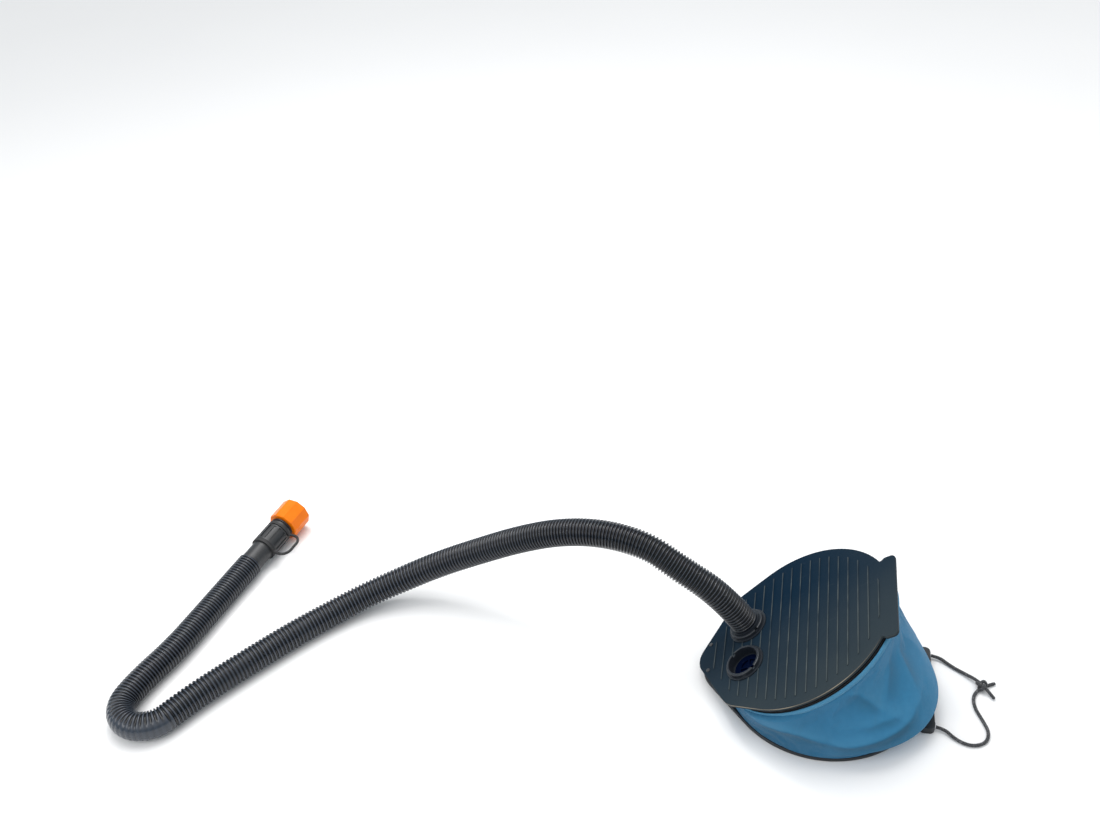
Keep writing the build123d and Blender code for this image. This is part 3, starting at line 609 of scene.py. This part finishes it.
# How much of the bulge the wall has at each share of the way up: it hangs low and dips in above.
BULGE_PLACES = (0, 0.03, 0.17, 0.74, 1)
BULGE_LEVELS = (0, 0, 1, -0.13, 0)
HEM_SHARE = 0.955                    # of the way up, where the hem starts
HEM_STEP = 0.9 * MM                  # the hem's stitched layers stand out from the wall
HEM_RADIUS = 114.5 * MM
HEM_DEPTH = 6 * MM
WEAVE_HEIGHT = 145 * MM              # the wall's height on the weave's own scale, its UVs
HEM_PLACE = 140 * MM                 # where the hem band starts on that scale
CLOTH_FRAMES = 24
FOLD_ROUNDNESS = 1.4                 # the power that a fold's section falls off by
FOLD_TAPER = 0.6                     # the power that a fold runs out by at its ends
FOLD_ENDS = 0.04                     # the share of its course at each end where it tapers no further
FOLD_FOOT = 0.1                      # the folds fade out over this share of the way up at the foot
FOLD_HEAD = 0.08                     # and over this share below the hem
FOLD_LIGHT = 0.7                     # how strong a fold's painted light above its crest is, against 1 for its painted shade below
FOLD_LIGHT_REACH = 10 * MM
FOLD_DARK_REACH = 15 * MM
FOLD_EDGE = 2.5 * MM                 # how softly the painted shade turns to painted light over the crest
FOLD_FULL_TONE = 6 * MM              # a fold that stands this far out has its full painted shade and light
# The folds' crests: how far each stands out, how wide it is above and below, and its course as degrees round
# the disc and shares of the way up.  The photograph shows the first six.  The last three are invented.
FOLDS = (
    (6.5 * MM, 24 * MM, 9 * MM, ((-131, 0.85), (-127, 0.77), (-101, 0.645), (-80, 0.37))),
    (6.0 * MM, 20 * MM, 9 * MM, ((-84, 0.38), (-75, 0.315), (-58, 0.325), (-40, 0.335), (-30, 0.36))),
    (4.5 * MM, 6 * MM, 15 * MM, ((-66, 0.95), (-57, 0.8), (-51, 0.615), (-46, 0.47))),
    (3.5 * MM, 12 * MM, 6 * MM, ((-66, 0.5), (-52, 0.47), (-45, 0.44), (-38, 0.40))),
    (3.0 * MM, 6 * MM, 9 * MM, ((-26, 0.86), (-32, 0.72), (-39, 0.62), (-47, 0.53))),
    (3.0 * MM, 10 * MM, 7 * MM, ((-12, 0.8), (-20, 0.62), (-25, 0.42))),
    (3.0 * MM, 14 * MM, 6 * MM, ((40, 0.75), (70, 0.5), (110, 0.6), (130, 0.8))),
    (3.5 * MM, 14 * MM, 6 * MM, ((20, 0.35), (45, 0.3), (80, 0.33), (105, 0.3))),
    (3.0 * MM, 8 * MM, 12 * MM, ((15, 0.85), (24, 0.6), (30, 0.45))),
)


def eased(value, stations, levels):
    """Levels joined by smooth steps, flat at every station."""
    k = np.clip(np.searchsorted(stations, value, side="right") - 1, 0, len(stations) - 2)
    stations, levels = np.array(stations), np.array(levels)
    t = (value - stations[k]) / (stations[k + 1] - stations[k])
    return levels[k] + (levels[k + 1] - levels[k]) * t * t * (3 - 2 * t)


def wall_height_at(angle):
    """The wall's length up from rim to rim, at an angle round the disc."""
    return (plate_reach + BELLOWS_RADIUS * np.cos(angle)) * open_angle


def shape_fold(angle, share, fold):
    """How far one fold lifts the wall at every point, and its painted shade below its crest and painted light
    above.
    """
    standing, above, below, course = fold
    across, up = BELLOWS_RADIUS * angle, share * wall_height_at(angle)
    turns = np.radians([turn for turn, _ in course])
    shares = np.array([part for _, part in course])
    ends = np.stack([BELLOWS_RADIUS * turns, shares * wall_height_at(turns)], axis=1)
    spans = np.linalg.norm(np.diff(ends, axis=0), axis=1)
    nearest = np.full(angle.shape, np.inf)
    lift, shade = np.zeros(angle.shape), np.zeros(angle.shape)
    for k, (first, last) in enumerate(zip(ends[:-1], ends[1:])):
        run = last - first
        way = np.clip(((across - first[0]) * run[0] + (up - first[1]) * run[1]) / (run @ run), 0, 1)
        off_across, off_up = across - first[0] - way * run[0], up - first[1] - way * run[1]
        gap = np.hypot(off_across, off_up)
        over = (off_up * run[0] - off_across * run[1]) * np.sign(run[0]) > 0
        side = np.where(over, above, below)
        along = (spans[:k].sum() + way * spans[k]) / spans.sum()
        taper = np.sin(pi * np.clip(along, FOLD_ENDS, 1 - FOLD_ENDS)) ** FOLD_TAPER
        here = standing * taper * np.exp(-((gap / side) ** FOLD_ROUNDNESS))
        lift = np.where(gap < nearest, here, lift)
        under = 0.5 + 0.5 * np.tanh(np.where(over, -gap, gap) / FOLD_EDGE)
        dark = under * np.exp(-gap / FOLD_DARK_REACH)
        tone = dark - (1 - under) * FOLD_LIGHT * np.exp(-gap / FOLD_LIGHT_REACH)
        shade = np.where(gap < nearest, tone * taper * standing / FOLD_FULL_TONE, shade)
        nearest = np.minimum(gap, nearest)
    return lift, shade


def wall_places():
    """Every point's angle round the disc, and its share of the way up."""
    angle = np.linspace(-pi, pi, BELLOWS_COLUMNS, endpoint=False)[None, :] + np.zeros((BELLOWS_ROWS + 1, 1))
    return angle, np.linspace(0, 1, BELLOWS_ROWS + 1)[:, None] + np.zeros((1, BELLOWS_COLUMNS))


def outward(angle):
    """The level direction out of the disc, at an angle round it."""
    return np.stack([np.cos(angle), np.sin(angle), np.zeros(angle.shape)], axis=-1)


def bellows_rows():
    """The wall's points, from the base up: straight from rim to rim, then bulged."""
    angle, share = wall_places()
    reach = plate_reach + BELLOWS_RADIUS * np.cos(angle)
    aside = BELLOWS_RADIUS * np.sin(angle)
    zero = np.zeros(angle.shape)
    foot = np.array(hinge) + np.stack([reach, aside, zero + base_top + WALL_FOOT], axis=-1)
    head = np.array(hinge) + reach[..., None] * np.array(top_along) + np.stack([zero, aside, zero], axis=-1)
    head += (skirt_bottom + WALL_HEAD) * np.array(top_up)
    rise = eased(share, BULGE_PLACES, BULGE_LEVELS)
    bulge = BULGE * np.exp(-(((angle - BULGE_MIDDLE) / BULGE_SPREAD) ** 2)) * rise
    out = bulge + np.where(share > HEM_SHARE, HEM_STEP, 0)
    return foot + share[..., None] * (head - foot) + out[..., None] * outward(angle)


def press_folds(piece):
    """The large folds, pressed into the settled wall, with their painted shade and light kept for its paint."""
    angle, share = wall_places()
    free = np.clip(share / FOLD_FOOT, 0, 1) * np.clip((HEM_SHARE - share) / FOLD_HEAD, 0, 1)
    lifts, shades = zip(*[shape_fold(angle, share, fold) for fold in FOLDS])
    lift = (sum(lifts) * free)[..., None] * outward(angle)
    flat = np.empty(len(piece.data.vertices) * 3)
    piece.data.vertices.foreach_get("co", flat)
    piece.data.vertices.foreach_set("co", flat + lift.ravel())
    shade = piece.data.attributes.new("fold_shade", "FLOAT", "POINT")
    shade.data.foreach_set("value", (sum(shades) * free).ravel())
    piece.data.update()


def settle_cloth(piece, held):
    """Runs the cloth, without weight, with its held points fixed, and keeps the shape that it comes to."""
    group = piece.vertex_groups.new(name="held")
    group.add(held, 1.0, "REPLACE")
    cloth = piece.modifiers.new("cloth", "CLOTH")
    settings = cloth.settings
    settings.vertex_group_mass = "held"
    settings.quality = 7
    settings.mass = 0.12
    settings.tension_stiffness = 30
    settings.compression_stiffness = 30
    settings.shear_stiffness = 12
    settings.bending_stiffness = 2.5
    settings.air_damping = 3
    settings.shrink_min = -0.012
    settings.effector_weights.gravity = 0.0
    cloth.collision_settings.use_collision = False
    scene = bpy.context.scene
    cloth.point_cache.frame_start = 1
    cloth.point_cache.frame_end = CLOTH_FRAMES
    for moment in range(1, CLOTH_FRAMES + 1):
        scene.frame_set(moment)
    shaped = bpy.data.meshes.new_from_object(piece.evaluated_get(bpy.context.evaluated_depsgraph_get()))
    piece.modifiers.clear()
    piece.data = shaped
    scene.frame_set(1)


def make_bellows():
    """The cloth wall between the plates, built in their open pose: settled as cloth, with its large folds pressed
    in.
    """
    circle = 2 * pi * BELLOWS_RADIUS
    heights = np.linspace(0, WEAVE_HEIGHT, BELLOWS_ROWS + 1)
    nylon = fabric_paint()
    make_hem(nylon)
    cloth = grid("bellows_cloth", bellows_rows(), circle, heights, nylon)
    hem = int(HEM_SHARE * BELLOWS_ROWS) * BELLOWS_COLUMNS
    held = list(range(BELLOWS_COLUMNS)) + list(range(hem, len(cloth.data.vertices)))
    settle_cloth(cloth, held)
    press_folds(cloth)
    wall = cloth.modifiers.new("thickness", "SOLIDIFY")
    wall.thickness = 0.5 * MM
    wall.offset = 0
    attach(cloth, "base")
    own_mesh(cloth)
    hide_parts("bellows")


def make_hem(paint):
    """The bellows' stitched top hem: a stiff band that hangs from the top plate and laps over the wall."""
    angle = np.linspace(-pi, pi, BELLOWS_COLUMNS, endpoint=False)
    rows = []
    for drop in (HEM_DEPTH, 0.5 * HEM_DEPTH, 0):
        level = skirt_bottom + WALL_HEAD - drop
        ring = [(plate_reach + HEM_RADIUS * cos(a), HEM_RADIUS * sin(a)) for a in angle]
        rows.append([tuple(on_top(x, y, level)) for x, y in ring])
    heights = np.linspace(HEM_PLACE, HEM_PLACE + HEM_DEPTH, len(rows))
    hem = grid("bellows_hem", np.array(rows), 2 * pi * HEM_RADIUS, heights, paint)
    band = hem.modifiers.new("thickness", "SOLIDIFY")
    band.thickness = 0.6 * MM
    band.offset = 0
    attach(hem, "top_plate")


# ---- spring ------------------------------------------------------------------------------------
def make_spring():
    """The coil inside the bellows, which has to shorten with them."""
    turns, radius, wire = 6, 26 * MM, 1.3 * MM
    steps, sides = 40, 12                                # of one turn, and round the wire
    low_seat, high_seat = -0.6 * MM, 7.6 * MM            # levels above the hinge axis
    end_rise = 0.042                                     # the end turns lie nearly flat
    count = turns * steps
    line = []
    for k in range(count + 1):
        turn = turns * k / count
        share = np.interp(turn, (0, 1, turns - 1, turns), (0, end_rise, 1 - end_rise, 1))
        level = low_seat + share * (high_seat - low_seat)
        reach = plate_reach + radius * cos(2 * pi * turn)
        tilt = share * open_angle
        x, z = reach * cos(tilt) - level * sin(tilt), reach * sin(tilt) + level * cos(tilt)
        line.append(tuple(hinge + Vector((x, radius * sin(2 * pi * turn), z))))
    line = np.array(line)
    distances = length_along(line)
    points, tangents, first, second = frames_at(line, distances)
    rows = ring_points(points, first, second, np.full((len(points), sides), wire))[0]
    coil = grid("return_spring_coil", rows, 2 * pi * wire, distances, steel_paint(), capped=True)
    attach(coil, "base")
    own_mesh(coil)
    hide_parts("return_spring")


# ---- CAD nodes' materials ----------------------------------------------------------------------
def paint_nodes():
    """Every CAD node's material: its own finish, or else the usual one of its slot."""
    plate = moulded("base_plate_plastic", rgb(0.006, 0.008, 0.011), rgb(0.013, 0.016, 0.02), 0.36, 0.5)
    inner = moulded("inner_plastic", rgb(0.014, 0.014, 0.016), rgb(0.028, 0.028, 0.03), 0.45, 0.6)
    collar = moulded("collar_plastic", rgb(0.008, 0.011, 0.016), rgb(0.016, 0.02, 0.026), 0.3, 0.42)
    fitting = moulded("fitting_plastic", rgb(0.012, 0.013, 0.015), rgb(0.024, 0.025, 0.027), 0.34, 0.46)
    steel = steel_paint()
    rubber = moulded("soft_rubber", rgb(0.012, 0.012, 0.013), rgb(0.025, 0.025, 0.026), 0.6, 0.75)
    # Painted shade: the valve flaps and seats, deep in the ports, are near-black navy with little shine.
    inside = moulded("port_inside_painted_shade", rgb(0.0002, 0.002, 0.012), rgb(0.0003, 0.003, 0.018), 0.5, 0.65)
    inside.set(Specular_IOR_Level=0.02)
    dark_steel = moulded("blackened_steel", rgb(0.02, 0.022, 0.025), rgb(0.05, 0.052, 0.056), 0.3, 0.42)
    finishes = {
        "base_plate": plate, "top_plate": top_plate_paint(), "coupling_nut": nut_paint(),
        "inlet_collar": collar, "outlet_collar": collar, "hose_plug": collar,
        "hose_cuff": fitting, "connector_body": fitting, "tether_strap": rubber,
        "inlet_flap": inside, "outlet_flap": inside, "inlet_valve_seat": inside, "outlet_valve_seat": inside,
        "coupling_seal": rubber, "top_hinge_screws": dark_steel, "hinge_pin": dark_steel,
        "base_hinge_leaf": dark_steel, "top_hinge_leaf": dark_steel, "base_hinge_screws": dark_steel,
    }
    slots = {row["node"]: row["material_slot"] for row in frame["record"]["subparts"]}
    for name, node in nodes.items():
        usual = steel if slots[name] == "steel" else inner
        node.data.materials.clear()
        node.data.materials.append(finishes.get(name, usual).material)


# ---- the scene ---------------------------------------------------------------------------------
bpy.context.scene.view_settings.view_transform = "Standard"
add_camera()
make_hose()
make_closing_cord()
make_bellows()
make_spring()
paint_nodes()
add_world()
add_floor()
add_softbox("overhead", (-0.5, 0.5, 1.9), (-0.2, 0, 0), (1.6, 1.2), 22)
add_softbox("front_left", (-1.4, -1.2, 1.3), (-0.2, 0, 0.05), (1.0, 1.0), 9)
add_softbox("sparkle", (-0.9, 0.8, 1.5), (-0.4, 0, 0.05), (0.22, 0.22), 5)
